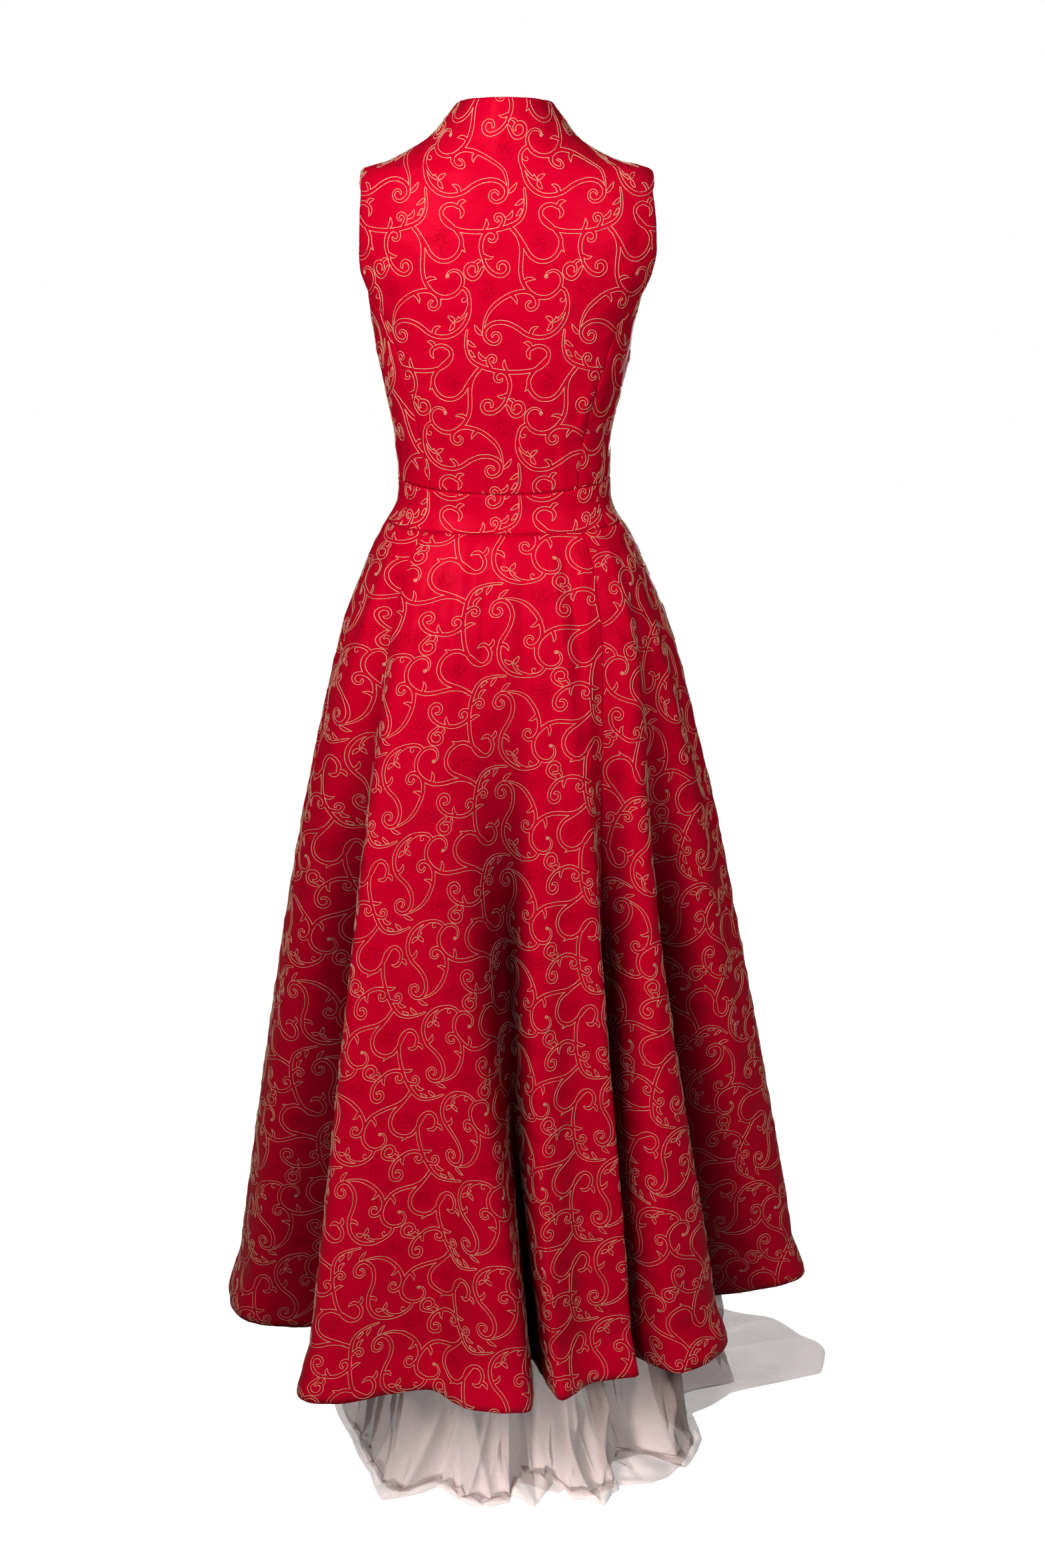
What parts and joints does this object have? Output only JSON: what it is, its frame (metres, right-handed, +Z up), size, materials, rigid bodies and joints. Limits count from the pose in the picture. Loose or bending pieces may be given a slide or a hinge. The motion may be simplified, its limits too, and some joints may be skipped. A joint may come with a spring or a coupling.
{
  "type": "sleeveless evening gown",
  "caption": "Floor-length sleeveless gown with funnel collar, waistband, full fluted skirt and net underskirt, standing filled out and hollow.",
  "frame": {"origin": "middle of the shoulder line, where the wearer carries the gown", "axes": "+Z up, +Y towards the front of the gown, +X to the wearer's right"},
  "size_m": [0.8485, 0.6032, 1.7313],
  "materials": {
    "jacquard": "red satin jacquard with gold scroll embroidery",
    "net": "fine ivory net",
    "zip_tape": "woven zip tape"
  },
  "bodies": {
    "root": {"bodice_back": "jacquard", "bodice_front": "jacquard", "bodice_side_left": "jacquard", "bodice_side_right": "jacquard", "waistband_back": "jacquard", "waistband_front": "jacquard", "skirt_back": "jacquard", "skirt_side_right": "jacquard", "skirt_front": "jacquard", "skirt_side_left": "jacquard", "net_upper": "net", "net_under_left": "net", "net_under_back": "net", "net_under_right": "net", "net_under_front": "net", "side_zip": "zip_tape"}
  },
  "joints": []
}
